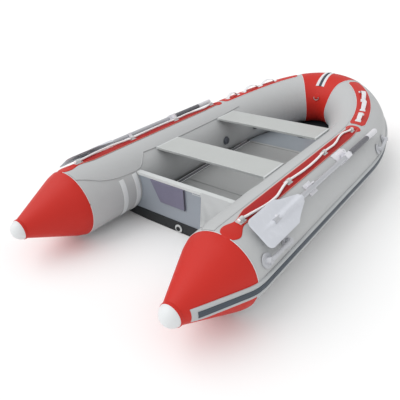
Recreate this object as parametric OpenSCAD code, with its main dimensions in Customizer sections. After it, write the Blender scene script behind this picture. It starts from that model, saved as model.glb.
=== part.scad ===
/* [Tubes] */
// Diameter of the buoyancy tubes
tube_d = 420; // [350:2:510]
// Distance between the centrelines of the two side tubes
tube_spacing = 1100; // [1000:5:1330]
// Length of the straight side chambers
side_len = 1394; // [1160:1:1680]
// How far the centreline runs forward in the bow
bow_run = 1038; // [900:1:1250]
// How far the centreline rises in the bow
bow_rise = 114; // [90:1:140]
// Height of the tube undersides above the ground
tube_lift = 22; // [18:1:27]
// Length of the stern cones without their caps
cone_len = 318; // [260:1:390]
// Diameter of a stern cone where its cap starts
cone_tip_d = 116; // [96:1:140]
// Length of the rounded cone caps
cap_len = 60; // [50:1:72]

/* [Rubbing strake] */
// Width of the strake all round the tubes
strake_w = 68; // [56:1:82]
// Thickness of the strake
strake_t = 12; // [10:0.5:15]
// Width of the dark stripe set into the strake
stripe_w = 30; // [24:1:36]

/* [Transom] */
// Distance from the cone seam to the aft face of the transom
transom_inset = 403; // [330:1:480]
// Height of the transom above the ground
transom_h = 338; // [290:1:360]
// Thickness of the transom board
transom_t = 25; // [20:1:30]
// Height of the black strip along the bottom of the transom
strip_h = 75; // [62:1:90]
// Distance of the drain from the middle, towards port
drain_x = 44; // [0:1:60]
// Bore of the drain
drain_d = 25; // [20:1:30]
// Thickness of the motor pads
pad_t = 10; // [8:0.5:12]

/* [Floor] */
// Height of the floor boards' upper face above the ground
floor_z = 114; // [108:1:130]
// Thickness of the floor boards
board_t = 12; // [10:0.5:15]
// Length of each of the three straight floor boards
board_len = 412; // [345:1:420]
// Length of the bow floor board
bow_board_len = 540; // [450:1:560]
// Diameter of the hole over the keel valve
keel_hole_d = 120; // [100:1:140]

/* [Benches] */
// Width of a bench, fore and aft
bench_w = 219; // [180:1:260]
// Thickness of a bench
bench_t = 16; // [14:1:22]
// Height of the tube tops above the benches
bench_drop = 34; // [28:1:40]
// Aft edge of the aft bench, from the cone tips
bench_aft_y = 1017; // [960:1:1100]
// Aft edge of the fore bench, from the cone tips
bench_fore_y = 1698; // [1500:1:1700]

/* [Oars] */
// Angle around the tube at which the oars are stowed, from the outer side upwards
oar_angle = 53.5; // [48:0.5:58]
// Distance from the tube surface to the oar's centreline
oar_gap = 30; // [26:1:36]
// Diameter of the oar shaft
shaft_d = 28; // [24:1:32]
// Width of the blade
blade_w = 164; // [136:1:190]
// Length of the blade
blade_len = 404; // [336:1:480]
// Overall length of an oar
oar_len = 1494; // [1300:1:1520]
// Place of the rowlock, from the cone tips
rowlock_y = 1485; // [1420:1:1500]
// Diameter of the rowlock pin
pin_d = 12; // [10:1:14]

/* [Fittings] */
// Diameter of the grab lines
line_d = 13; // [10:0.5:15]
// Diameter of an air valve's flange
valve_d = 66; // [56:1:78]
// Diameter of a carry handle's grip bar
handle_d = 20; // [17:0.5:24]
// Height of a carry handle's finger gap
finger_gap = 18; // [15:0.5:22]
// Thickness of a glued patch or flap
patch_t = 2; // [1.5:0.1:2.4]

/* [Hidden] */

// Clearances: sliding or turning fits, flat faces that lie on each other, glued skins on a tube
fit = 0.3;
seat = 0.5;
skin = 0.7;

// Tube geometry. Lengths along the boat are measured from the cone tips.
tube_r = tube_d / 2;
half_gap = tube_spacing / 2;
axis_z = tube_lift + tube_r;
tube_top = axis_z + tube_r;
seam_y = cap_len + cone_len;
bow_y = seam_y + side_len;
overall_len = bow_y + bow_run + tube_r + skin + strake_t;
shift = -overall_len / 2;
sheer_power = 2.15;
bow_steps = 60;
bow_sides = 36;
step = 180 / bow_steps;
turn_fn = 96;

// Transom and floor
transom_y = seam_y + transom_inset;
cap_h = 20;
edge_t = 5;
strip_reach = half_gap - 45;
strip_flat = half_gap * 0.6;
strip_rise = tube_lift / 2;
floor_y = transom_y + transom_t + edge_t + 1;
joint_web = 2;
lip_t = 4;
lip_w = 14;
rail_w = 36;
bow_board_y = floor_y + 3 * board_len;
bow_board_phi = bow_board_y > bow_y ? asin((bow_board_y - bow_y) / bow_run) : 0;
board_half = inner_edge(bow_board_phi, floor_z + lip_t + fit)[0] - lip_t - 3;
keel_hole_y = bow_board_y + 352;

// Benches
bench_z = tube_top - bench_drop;
bench_end_w = 14;
bench_end_t = 16;

// Oars, in a frame whose Z leaves the tube at oar_angle
oar_r = tube_r + oar_gap;
pin_offset = 34;
oar_tip_y = rowlock_y - 1003;
collar_len = 62;
collar_h = 34;
sleeve_len = 287;
knob_len = 150;

// Grip strips, grab lines and grip loops
strip_mid = 83;
strip_half = 10.5;
strip_start = 430;
strip_end = 1925;
line_angle = 82;
eye_y = [517, 965, 1411, 1848];
line_rise = 15;
loop_spans = [[16.5, 22.5], [28.5, 37.5], [40.5, 49.5]];
loop_angle = 84;
loop_w = 28;
loop_rise = 34;

// A station is [centre, outward direction, upward direction, tube radius]
function unit(v) = v / norm(v);
function axis_point(phi) = [half_gap * cos(phi), shift + bow_y + bow_run * sin(phi),
    axis_z + bow_rise * pow(sin(phi), sheer_power)];
function axis_heading(phi) = unit([-half_gap * sin(phi), bow_run * cos(phi),
    bow_rise * sheer_power * pow(sin(phi), sheer_power - 1) * cos(phi)]);
function outward(phi) = unit([bow_run * cos(phi), half_gap * sin(phi), 0]);
function bow_station(phi) =
    [axis_point(phi), outward(phi), cross(outward(phi), axis_heading(phi)), tube_r];
function side_station(y, side = 1) =
    [[side * half_gap, shift + y, axis_z], [side, 0, 0], [0, 0, 1], tube_r];
function cone_station(y, side = 1) = [[side * half_gap, shift + y, axis_z], [side, 0, 0],
    [0, 0, 1], cone_tip_d / 2 + (tube_r - cone_tip_d / 2) * (y - cap_len) / cone_len];
// Where the bow tube's inner side meets a level at height z
function inner_edge(phi, z) = let (p = axis_point(phi), d = z - p[2])
    p - sqrt(max(0, tube_r * tube_r - d * d)) * outward(phi);
function bow_path(from, to) = [for (phi = [from:step:to]) bow_station(phi)];

// A point at angle a around a station, off its surface by lift
function around(s, a, lift) =
    s[0] + (s[3] + lift) * (cos(a) * s[1] + sin(a) * s[2]);
function pick(v, i) = is_list(v) ? v[i] : v;

// Triangles of a solid made of rings of k points each, closed at both ends by strips
function loft_faces(rings, k) = concat(
    [for (i = [0:rings - 2], j = [0:k - 1]) let (n = (j + 1) % k)
        [i * k + j, (i + 1) * k + j, (i + 1) * k + n]],
    [for (i = [0:rings - 2], j = [0:k - 1]) let (n = (j + 1) % k)
        [i * k + j, (i + 1) * k + n, i * k + n]],
    strip_faces(0, k, false),
    strip_faces((rings - 1) * k, k, true));
function strip_faces(base, k, flip) = [for (j = [0:k / 2 - 2], half = [0, 1])
    let (a = base + j, b = base + j + 1, c = base + k - 2 - j, d = base + k - 1 - j)
    half == 0 ? (flip ? [a, c, b] : [a, b, c]) : (flip ? [a, d, c] : [a, c, d])];

// A solid that lofts one closed ring of points to the next
module loft(rings) {
    polyhedron(points = [for (r = rings) each r], faces = loft_faces(len(rings), len(rings[0])),
        convexity = 6);
}

// A skin on the tube along a path of stations, between two angles. Its width in
// millimetres stays the same where the tube's radius changes.
module band(path, from, to, lift, t, chord = 19) {
    widths = [for (i = [0:len(path) - 1]) (pick(to, i) - pick(from, i)) / 180 * PI * tube_r];
    cuts = max(2, ceil(max(widths) / chord));
    loft([for (i = [0:len(path) - 1]) let (
        s = path[i],
        mid = (pick(from, i) + pick(to, i)) / 2,
        half = (pick(to, i) - pick(from, i)) / 2 * tube_r / s[3])
        concat(
            [for (j = [0:cuts]) around(s, mid + half * (2 * j / cuts - 1), lift + t)],
            [for (j = [cuts:-1:0]) around(s, mid + half * (2 * j / cuts - 1), lift)])]);
}

// A round cord of diameter d along a list of points
module cord(points, d, sides = 8) {
    last = len(points) - 1;
    loft([for (i = [0:last]) let (
        heading = unit(points[min(i + 1, last)] - points[max(i - 1, 0)]),
        across = unit(cross(heading, [0, 0, 1])),
        over = cross(across, heading))
        [for (j = [0:sides - 1])
            points[i] + d / 2 * (cos(j * 360 / sides) * across - sin(j * 360 / sides) * over)]]);
}

// Places children on the tube at a station: Z leaves the tube at angle a, Y runs along it
module on_tube(s, a, lift = 0) {
    z = cos(a) * s[1] + sin(a) * s[2];
    x = sin(a) * s[1] - cos(a) * s[2];
    y = cross(z, x);
    p = s[0] + (s[3] + lift) * z;
    multmatrix([[x[0], y[0], z[0], p[0]], [x[1], y[1], z[1], p[1]], [x[2], y[2], z[2], p[2]]])
        children();
}

// Repeats children on the port side as well
module both_sides() {
    children();
    mirror([1, 0, 0]) children();
}

// Turns a shape drawn in X and Y into a piece across the boat that is t thick along Y
module across_boat(y, t) {
    translate([0, shift + y + t, 0]) rotate([90, 0, 0]) linear_extrude(t) children();
}

// Turns a shape drawn in Y and Z into a piece of the given length along X
module along_width(y, z, length) {
    translate([-length / 2, shift + y, z]) rotate([90, 0, 90]) linear_extrude(length) children();
}

// The two tubes' outlines in the X and Z plane, with room around them
module tube_outlines(room) {
    for (side = [-1, 1]) translate([side * half_gap, axis_z]) circle(tube_r + room, $fn = turn_fn);
}

// A round piece about the centreline of a side tube, from y to y + length
module about_axis(y, side = 1) {
    translate([side * half_gap, shift + y, axis_z]) rotate([-90, 0, 0]) children();
}

module side_chamber() {
    about_axis(seam_y) cylinder(r = tube_r, h = side_len, $fn = turn_fn);
}

module chamber_port() { color("silver") mirror([1, 0, 0]) side_chamber(); }
module chamber_starboard() { color("silver") side_chamber(); }

module chamber_bow() {
    color("silver")
        loft([for (s = bow_path(0, 180)) [for (j = [0:bow_sides - 1])
            around(s, (j + 0.5) * 360 / bow_sides, 0)]]);
}

module stern_cone() {
    about_axis(cap_len) cylinder(r1 = cone_tip_d / 2, r2 = tube_r, h = cone_len, $fn = turn_fn);
}

module cone_port() { color("firebrick") mirror([1, 0, 0]) stern_cone(); }
module cone_starboard() { color("firebrick") stern_cone(); }

// A cap is a rounded end that is flush with the cone
module cone_caps() {
    nose_r = cone_tip_d / 2;
    color("gainsboro") both_sides() about_axis(0) rotate_extrude($fn = turn_fn)
        intersection() {
            square([nose_r, cap_len]);
            translate([0, cap_len])
                polygon(concat([[0, 0]], [for (a = [0:6:90]) [nose_r * cos(a), -cap_len * sin(a)]]));
        }
}

// The strake runs from one cone along the side, round the bow and back to the other cone
function strake_path() = concat(
    [for (i = [0:cone_cuts]) cone_station(strake_start + (seam_y - strake_start) * i / cone_cuts)],
    bow_path(0, 180),
    [for (i = [cone_cuts:-1:0])
        cone_station(strake_start + (seam_y - strake_start) * i / cone_cuts, -1)]);
strake_start = cap_len + 32;
cone_cuts = 8;
strake_chord = 10;
strake_half = strake_w / 2 / tube_r * 180 / PI;
stripe_half = stripe_w / 2 / tube_r * 180 / PI;
stripe_t = 3;

module rubbing_strake() {
    color("lightgray") band(strake_path(), -strake_half, strake_half, skin,
        strake_t - stripe_t - seat, strake_chord);
}

module strake_stripe() {
    color("darkslategray")
        band(strake_path(), -stripe_half, stripe_half, skin + strake_t - stripe_t, stripe_t,
            strake_chord);
}

// The bottom skin hangs between the tubes' lower edges and is pushed down by the keel
hull_attach = -104;
hull_t = 3;
hull_cuts = 6;
hull_close_from = 2600;
hull_close_to = 2735;
keel_flat_to = 2150;
function keel_z(y) = fit + (y <= keel_flat_to ? 0 :
    (axis_z + bow_rise - tube_r - fit) * pow((y - keel_flat_to) / (bow_y + bow_run - keel_flat_to), 2));
function hull_ring(s, lift) = let (
    edge = around(s, hull_attach, hull_t + skin + lift),
    low = min(edge[2], keel_z(edge[1] - shift) + hull_t + lift),
    f = max(0, min(1, (edge[1] - shift - hull_close_from) / (hull_close_to - hull_close_from))),
    keel = [0, edge[1], low + (edge[2] - low) * f * f * (3 - 2 * f)],
    slope = [for (i = [-hull_cuts:hull_cuts]) let (t = abs(i) / hull_cuts)
        [edge[0] * i / hull_cuts, edge[1], keel[2] + (edge[2] - keel[2]) * pow(t, 1.6)]])
    slope;

module hull_bottom() {
    path = concat([side_station(transom_y + transom_t + edge_t + fit)], bow_path(0, 78));
    color("slategray") loft([for (s = path) let (low = hull_ring(s, 0))
        concat([for (p = low) p + [0, 0, -hull_t]], [for (i = [len(low) - 1:-1:0]) low[i]])]);
}

// The keel tube fills the room between the bottom skin and the floor boards
keel_top = floor_z - board_t - lip_t - fit - seat;
function keel_radius(y) = (keel_top - keel_z(y) - hull_t - 2 * seat) / 2;
keel_y = concat([floor_y + 70, keel_flat_to], [for (i = [1:4])
    keel_flat_to + (keel_hole_y + 50 - keel_flat_to) * i / 4]);
keel_end = keel_hole_y + 90;
function keel_ring(y, r) = [for (a = [0:12:348])
    [r * cos(a), shift + y, keel_top - keel_radius(y) + r * sin(a)]];
module keel_tube() {
    color("gray") loft(concat(
        [keel_ring(floor_y + 20, keel_radius(floor_y) * 0.5)],
        [for (y = keel_y) keel_ring(y, keel_radius(y))],
        [keel_ring(keel_end, keel_radius(keel_end) * 0.5)]));
}

// A straight floor board, between two joiners and in the stringers at its sides
module floor_board(i) {
    end_gap = joint_web / 2 + fit;
    start_gap = i == 0 ? fit : end_gap;
    color("darkgray")
        translate([-board_half + fit, shift + floor_y + i * board_len + start_gap, floor_z - board_t])
            cube([2 * (board_half - fit), board_len - start_gap - end_gap, board_t]);
}

module floor_board_aft() { floor_board(0); }
module floor_board_middle() { floor_board(1); }
module floor_board_fore() { floor_board(2); }

// The bow board follows the tube's inner side and ends in an arch
module bow_board_outline() {
    edge = [for (phi = [bow_board_phi + 3:4:64]) inner_edge(phi, floor_z + fit)];
    half = board_half - 6;
    intersection() {
        circle(r = bow_board_len, $fn = 120);
        polygon(concat(
            [[half, 0]], [for (p = edge) [min(half, p[0] - 6), p[1] - shift - bow_board_y]],
            [for (i = [len(edge) - 1:-1:0])
                [-min(half, edge[i][0] - 6), edge[i][1] - shift - bow_board_y]], [[-half, 0]]));
    }
}

module floor_board_bow() {
    color("slategray")
        translate([0, shift + bow_board_y + joint_web / 2 + fit, floor_z - board_t])
            linear_extrude(board_t) difference() {
                bow_board_outline();
                translate([0, keel_hole_y - bow_board_y]) circle(d = keel_hole_d, $fn = 72);
            }
}

// An H section joins each board to the next, seen here from the side
module floor_joiners() {
    slot = board_t + 2 * fit;
    color("gainsboro") for (i = [1:3])
        along_width(floor_y + i * board_len, floor_z - board_t / 2, 2 * (board_half - rail_w) - 2 * seat)
            difference() {
                square([2 * lip_w, slot + 2 * lip_t], center = true);
                for (side = [-1, 1]) translate([side * (lip_w + joint_web) / 2, 0])
                    square([lip_w, slot], center = true);
            }
}

// A channel closes the boards' edges on each side
module stringer() {
    slot = board_t + 2 * fit;
    translate([0, shift + floor_y + fit, 0]) rotate([-90, 0, 0])
        linear_extrude(3 * board_len - 2 * fit) translate([board_half + lip_t, -(floor_z - board_t / 2)])
            difference() {
                translate([-rail_w - lip_t, -slot / 2 - lip_t]) square([rail_w + lip_t, slot + 2 * lip_t]);
                translate([-rail_w - lip_t - 1, -slot / 2]) square([rail_w + 1, slot]);
            }
}

module stringer_port() { color("gainsboro") mirror([1, 0, 0]) stringer(); }
module stringer_starboard() { color("gainsboro") stringer(); }

module transom_board() {
    color("lightsteelblue") difference() {
        across_boat(transom_y, transom_t) difference() {
            polygon([[-strip_reach, strip_rise + edge_t], [-strip_flat, edge_t], [strip_flat, edge_t],
                [strip_reach, strip_rise + edge_t], [strip_reach, transom_h - edge_t],
                [-strip_reach, transom_h - edge_t]]);
            tube_outlines(seat);
        }
        drain_hole(transom_t + 2 * edge_t, 2 * fit);
    }
}

// A bore through the transom at the drain
drain_z = 30;
module drain_hole(depth, room) {
    translate([-drain_x, shift + transom_y - edge_t - 1, drain_z]) rotate([-90, 0, 0])
        cylinder(d = drain_d + 6 + room, h = depth + 2, $fn = 48);
}

module transom_cap() {
    color("whitesmoke") difference() {
        across_boat(transom_y - edge_t, transom_t + 2 * edge_t) difference() {
            translate([-strip_reach, transom_h - cap_h]) square([2 * strip_reach, cap_h]);
            tube_outlines(seat);
        }
        translate([-half_gap, shift + transom_y - fit, 0])
            cube([2 * half_gap, transom_t + 2 * fit, transom_h - edge_t + fit]);
    }
}

module transom_strip() {
    color("black") difference() {
        across_boat(transom_y - edge_t, transom_t + 2 * edge_t) difference() {
            polygon([[-strip_reach, strip_rise], [-strip_flat, 0], [strip_flat, 0],
                [strip_reach, strip_rise], [strip_reach, strip_h], [-strip_reach, strip_h]]);
            tube_outlines(seat);
        }
        across_boat(transom_y - fit, transom_t + 2 * fit)
            polygon([[-half_gap, strip_rise + edge_t - fit], [-strip_flat, edge_t - fit],
                [strip_flat, edge_t - fit], [half_gap, strip_rise + edge_t - fit],
                [half_gap, strip_h + 1], [-half_gap, strip_h + 1]]);
        drain_hole(transom_t + 2 * edge_t, 2 * fit);
    }
}

// The outer pad has a slanted port edge; the inner pad is a plain plate
module motor_pads() {
    pad_top = transom_h - cap_h - 1;
    color("slategray") {
        across_boat(transom_y - seat - pad_t, pad_t)
            polygon([[-250, pad_top], [22, pad_top], [22, pad_top - 140], [-178, pad_top - 140]]);
        across_boat(transom_y + transom_t + seat, pad_t)
            translate([-140, pad_top - 160]) square([280, 160]);
    }
}

// Tapes round the tube's inner side hold the transom; two behind it on each side
module transom_holders() {
    color("gainsboro") both_sides() for (y = [transom_y - 156, transom_y - 48])
        about_axis(y) rotate([0, 0, -235]) rotate_extrude(angle = 84, $fn = turn_fn)
            translate([tube_r + skin, 0]) square([patch_t, 36]);
}

module drain_flange() {
    color("white") translate([-drain_x, shift + transom_y - edge_t - seat, drain_z])
        rotate([90, 0, 0]) difference() {
            union() {
                cylinder(d = 54, h = 5, $fn = 64);
                translate([0, 0, -transom_t]) cylinder(d = drain_d + 6, h = transom_t + 1, $fn = 48);
            }
            translate([0, 0, -transom_t - 1]) cylinder(d = drain_d, h = transom_t + 8, $fn = 48);
        }
}

// The plug is pushed in from behind and pulled out aft
module drain_plug() {
    color("black") translate([-drain_x, shift + transom_y - edge_t - seat, drain_z])
        rotate([90, 0, 0]) union() {
            translate([0, 0, -14]) cylinder(d = drain_d - 2 * fit, h = 22, $fn = 48);
            translate([0, 0, 8]) cylinder(d = drain_d + 5, h = 3, $fn = 48);
            translate([0, 0, 11]) cylinder(d = 8, h = 6, $fn = 32);
        }
}

// The flap that carries the bench rail hangs inboard of the tube's top. It is wide over
// the transom and narrow along the benches.
flap_from = 98;
flap_low = [[14, 118], [134, 137], [200, 143], [264, 146.5], [394, 149], [450, 146], [530, 125],
    [630, 127], [870, 128], [1320, 128]];
flap_step = 15;
module seat_flap() {
    path_y = [for (y = [14:flap_step:540]) y];
    bow_phi = [for (phi = [0:step:15]) phi];
    band(concat([for (y = path_y) side_station(seam_y + y)], [for (phi = bow_phi) bow_station(phi)]),
        flap_from,
        concat([for (y = path_y) lookup(y, flap_low)], [for (phi = bow_phi) 128 - phi / 4]),
        skin, patch_t + 0.5);
}

module seat_flap_port() { color("silver") mirror([1, 0, 0]) seat_flap(); }
module seat_flap_starboard() { color("silver") seat_flap(); }

// On the starboard side the flap runs on as a web to the top of the transom
gusset_y = [44, 94, 154, 214, 274, 334, 394];
gusset_reach = 148;
gusset_t = 3;
module transom_gusset() {
    span = gusset_y[len(gusset_y) - 1] - gusset_y[0];
    start = around(side_station(seam_y + gusset_y[0]), lookup(gusset_y[0], flap_low) + 5, skin + 4);
    end = [gusset_reach, shift + transom_y - edge_t - seat, transom_h + seat];
    color("silver") loft([for (y = gusset_y) let (
        t = (y - gusset_y[0]) / span,
        inner = around(side_station(seam_y + y), lookup(y, flap_low) + 1.4, skin + 1.2),
        free = start + (end - start) * t,
        lip = [0, 0, gusset_t])
        [free, inner, inner + lip, free + lip]]);
}

// A bench is a hollow extrusion between two moulded ends, which rest on the tubes
function bench_half(y) = let (
    s = y <= bow_y ? side_station(y) : bow_station(asin((y - bow_y) / bow_run)),
    drop = bench_z - bench_end_t - s[0][2])
    s[0][0] - sqrt(pow(tube_r + fit, 2) - drop * drop);
bench_aft_half = bench_half(bench_aft_y + bench_w);
bench_fore_half = bench_half(bench_fore_y + bench_w);

module bench(y, half) {
    wall = 3;
    cell = (bench_w - 5 * wall) / 4;
    along_width(y, bench_z - bench_t, 2 * (half - bench_end_w)) difference() {
        square([bench_w, bench_t]);
        for (i = [0:3]) translate([wall + i * (cell + wall), wall]) square([cell, bench_t - 2 * wall]);
    }
}

module bench_ends(y, half) {
    both_sides() translate([half - bench_end_w + fit / 3, shift + y, bench_z - bench_end_t])
        cube([bench_end_w - fit / 3, bench_w, bench_end_t]);
}

module bench_aft() { color("silver") bench(bench_aft_y, bench_aft_half); }
module bench_fore() { color("silver") bench(bench_fore_y, bench_fore_half); }
module bench_ends_aft() { color("lightgray") bench_ends(bench_aft_y, bench_aft_half); }
module bench_ends_fore() { color("lightgray") bench_ends(bench_fore_y, bench_fore_half); }

// The strip under the grab line is narrow near its ends, which are round
strip_y = [-50, -38, -10, 15, 42, 62, 84, 108];
strip_widths = [5, 10, 13.5, 12, 6.5, 5, 6, 8.5];
module grip_strip() {
    path = concat([for (y = strip_y) side_station(strip_start + y)],
        [side_station(strip_start + 140)], bow_path(0, 9));
    widths = concat(strip_widths, [strip_half, strip_half, 11, 13.5, 6]);
    band(path, [for (w = widths) strip_mid - w], [for (w = widths) strip_mid + w], skin, patch_t);
}

module grip_strip_port() { color("darkred") mirror([1, 0, 0]) grip_strip(); }
module grip_strip_starboard() { color("darkred") grip_strip(); }

// Route of a grab line: [distance from the cone tips, angle around the tube]
line_route = [[500, 82], [525, 82], [560, 80.5], [600, 79], [650, 77], [700, 75.5], [750, 75],
    [800, 75.5], [850, 78], [900, 80.5], [940, 82], [965, 82], [990, 82], [1040, 81], [1100, 80],
    [1160, 79.5], [1220, 79.5], [1280, 80], [1340, 81], [1385, 82], [1411, 82], [1440, 82],
    [1490, 81.5], [1540, 81], [1600, 82.5], [1650, 85], [1700, 87], [1750, 87.5], [1790, 85.5],
    [1825, 83], [1848, 82], [1865, 82]];
function path_station(y) =
    y <= bow_y ? side_station(y) : bow_station(asin(min(1, (y - bow_y) / bow_run)));
module grab_line() {
    cord([for (p = line_route) around(path_station(p[0]), p[1], line_rise)], line_d);
}

module grab_line_port() { color("white") mirror([1, 0, 0]) grab_line(); }
module grab_line_starboard() { color("white") grab_line(); }

// A moulded eye on the strip holds the line
module line_eyes() {
    base_t = 3;
    eye_base = skin + patch_t + seat;
    color("white") both_sides() for (y = eye_y)
        on_tube(path_station(y), line_angle, eye_base) difference() {
            union() {
                translate([-17, -24, 0]) cube([34, 48, base_t]);
                translate([0, -12, line_rise - eye_base]) rotate([-90, 0, 0])
                    cylinder(d = line_d + 11, h = 24, $fn = 40);
                translate([-(line_d + 11) / 2, -12, base_t - 0.5])
                    cube([line_d + 11, 24, line_rise - eye_base - base_t + 0.5]);
            }
            translate([0, -30, line_rise - eye_base]) rotate([-90, 0, 0])
                cylinder(d = line_d + 5, h = 60, $fn = 40);
        }
}

module forward_patches() {
    color("firebrick") both_sides()
        band(bow_path(12, 66), 69, 97, skin, patch_t);
}

// A webbing loop rises from the patch between its two ends
module grip_loops() {
    base = skin + patch_t + seat;
    web_t = 3;
    color("white") both_sides() for (span = loop_spans) {
        half = loop_w / 2 / tube_r * 180 / PI;
        loft([for (i = [0:8]) let (
            phi = span[0] + (span[1] - span[0]) * i / 8,
            rise = base + (loop_rise - base) * pow(sin(180 * i / 8), 0.6),
            s = bow_station(phi))
            [around(s, loop_angle - half, rise + web_t), around(s, loop_angle + half, rise + web_t),
                around(s, loop_angle + half, rise), around(s, loop_angle - half, rise)]]);
    }
}

// The bow patch wraps the bow apart from the strake's width
module bow_patch() {
    color("firebrick") band(bow_path(69, 111), strake_half + 1.5, 358.5 - strake_half, skin, patch_t);
}

module bow_strap() {
    color("lightgray") band(bow_path(87, 93), 72, 137, skin + patch_t + seat, 5);
}

// A lifting ring on the inner side of the bow, in its bored block
ring_angle = 166;
ring_r = 22;
ring_wire = 5;
ring_rise = 15;
module bow_ring_base() {
    color("firebrick") on_tube(bow_station(90), ring_angle, 0) difference() {
        translate([-8, -15, skin + patch_t + 1.8]) cube([16, 30, ring_rise + 0.2]);
        translate([0, -20, ring_rise]) rotate([-90, 0, 0])
            cylinder(d = ring_wire + 2 * fit, h = 40, $fn = 32);
    }
}

module bow_ring() {
    color("silver") on_tube(bow_station(90), ring_angle, ring_rise) rotate([0, ring_angle - 180, 0]) {
        translate([0, -ring_r, 0]) rotate([-90, 0, 0]) cylinder(d = ring_wire, h = 2 * ring_r, $fn = 32);
        rotate([0, 0, 90]) rotate_extrude(angle = 180, $fn = 64)
            translate([ring_r, 0]) circle(d = ring_wire, $fn = 24);
    }
}

// A straight round bar from point p to point q
module bar(p, q, d) {
    z = unit(q - p);
    x = unit(cross(z, [0, 0, 1]));
    y = cross(z, x);
    multmatrix([[x[0], y[0], z[0], p[0]], [x[1], y[1], z[1], p[1]], [x[2], y[2], z[2], p[2]]])
        cylinder(d = d, h = norm(q - p), $fn = 40);
}

// A carry handle: a round foot at each end and a bar that stands clear of the tube
module carry_handle(s_aft, s_fore, angle) {
    bar_rise = finger_gap + handle_d / 2;
    p = around(s_aft, angle, bar_rise);
    q = around(s_fore, angle, bar_rise);
    for (s = [s_aft, s_fore]) on_tube(s, angle, seat) {
        translate([0, 0, 2]) cylinder(d = 70, h = 6, $fn = 64);
        cylinder(d = 30, h = bar_rise + 6, $fn = 48);
    }
    bar(p, q, handle_d);
}

handle_angle = 25;
module carry_handles_aft() {
    color("gray") both_sides()
        carry_handle(side_station(seam_y + 94), side_station(seam_y + 270), handle_angle);
}

module carry_handles_bow() {
    color("gray") both_sides() carry_handle(bow_station(9), bow_station(18), handle_angle - 3);
}

// The rowlock's base plate is moulded to the tube and carries the pin beside the oar
module rowlock_bases() {
    color("gainsboro") both_sides() difference() {
        union() {
            about_axis(rowlock_y - 70) rotate([0, 0, -71]) rotate_extrude(angle = 23, $fn = turn_fn)
                translate([tube_r + skin, 0]) square([4, 140]);
            difference() {
                oar_frame() translate([-pin_offset, 0, tube_r - 8]) cylinder(d = 40, h = 15, $fn = 48);
                about_axis(rowlock_y - 80) cylinder(r = tube_r + skin + 2, h = 160, $fn = turn_fn);
            }
        }
        oar_frame() translate([-pin_offset, 0, tube_r - 12]) cylinder(d = pin_d, h = 40, $fn = 40);
    }
}

// Frame of the stowed oar: Z leaves the tube, X points outboard and down, Y forward
module oar_frame() {
    translate([half_gap, shift + rowlock_y, axis_z]) rotate([0, 90 - oar_angle, 0]) children();
}

module rowlock_pins() {
    color("silver") both_sides() oar_frame() translate([-pin_offset, 0, tube_r - 1.5])
        cylinder(d = pin_d, h = 40, $fn = 40);
}

// The collar clamps the shaft and turns on the pin
module rowlock_collar() {
    base = tube_r + 7 + seat;
    oar_frame() difference() {
        union() {
            translate([-collar_h / 2, -collar_len / 2, oar_r - collar_h / 2])
                cube([collar_h, collar_len, collar_h]);
            translate([-pin_offset, 0, base]) cylinder(d = 34, h = 34, $fn = 48);
            translate([-pin_offset, -14, base]) cube([pin_offset, 28, 30]);
        }
        translate([0, -collar_len, oar_r]) rotate([-90, 0, 0])
            cylinder(d = shaft_d + 2 * fit, h = 2 * collar_len, $fn = 48);
        translate([-pin_offset, 0, base - 5]) cylinder(d = pin_d + 2 * fit, h = 60, $fn = 40);
    }
}

module collar_port() { color("gainsboro") mirror([1, 0, 0]) rowlock_collar(); }
module collar_starboard() { color("gainsboro") rowlock_collar(); }

// The shaft runs from inside the blade's socket to the end knob
module oar_shaft() {
    oar_frame() translate([0, oar_tip_y - rowlock_y + 130, oar_r]) rotate([-90, 0, 0])
        cylinder(d = shaft_d, h = oar_len - 150, $fn = 48);
}

module oar_shaft_port() { color("silver") mirror([1, 0, 0]) oar_shaft(); }
module oar_shaft_starboard() { color("silver") oar_shaft(); }

// The blade is a thin plate with a socket along its middle for the shaft
module oar_blade() {
    half = blade_w / 2;
    tip = oar_tip_y - rowlock_y;
    oar_frame() difference() {
        union() {
            translate([0, tip, oar_r - 3]) linear_extrude(6)
                polygon([[-half + 24, 0], [half - 24, 0], [half - 8, 8], [half, 26],
                    [half, blade_len - 140], [half - 20, blade_len - 100], [24, blade_len - 4],
                    [-24, blade_len - 4], [-half + 20, blade_len - 130], [-half, blade_len - 170],
                    [-half, 26], [-half + 8, 8]]);
            translate([0, tip + 110, oar_r]) rotate([-90, 0, 0])
                cylinder(d = shaft_d + 7, h = blade_len - 110, $fn = 48);
        }
        translate([0, tip + 125, oar_r]) rotate([-90, 0, 0])
            cylinder(d = shaft_d + 2 * fit, h = blade_len, $fn = 48);
    }
}

module oar_blade_port() { color("lavender") mirror([1, 0, 0]) oar_blade(); }
module oar_blade_starboard() { color("lavender") oar_blade(); }

// A dark sleeve over the shaft and a light knob at its end
module oar_grip() {
    end_y = oar_tip_y - rowlock_y + oar_len;
    oar_frame() difference() {
        union() {
            translate([0, end_y - knob_len, oar_r]) rotate([-90, 0, 0])
                cylinder(d = shaft_d + 8, h = knob_len, $fn = 48);
            translate([0, end_y - knob_len - 1 - sleeve_len, oar_r]) rotate([-90, 0, 0])
                cylinder(d = shaft_d + 5, h = sleeve_len, $fn = 48);
        }
        translate([0, 0, oar_r]) rotate([-90, 0, 0])
            cylinder(d = shaft_d + 2 * fit, h = end_y - 15, $fn = 48);
    }
}

module oar_grip_port() { color("dimgray") mirror([1, 0, 0]) oar_grip(); }
module oar_grip_starboard() { color("dimgray") oar_grip(); }

// A cradle under the shaft with a hook on its inboard side, so the oar swings out freely
clip_y = 1035;
module oar_clips() {
    color("lightgray") both_sides() difference() {
        oar_frame() translate([0, clip_y - rowlock_y, 0]) {
            translate([-40, -36, tube_r - 12]) cube([72, 72, 17]);
            translate([-shaft_d / 2 - 9, -12, tube_r]) cube([8, 24, oar_gap + 12]);
        }
        about_axis(clip_y - 60) cylinder(r = tube_r + seat, h = 120, $fn = turn_fn);
    }
}

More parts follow.
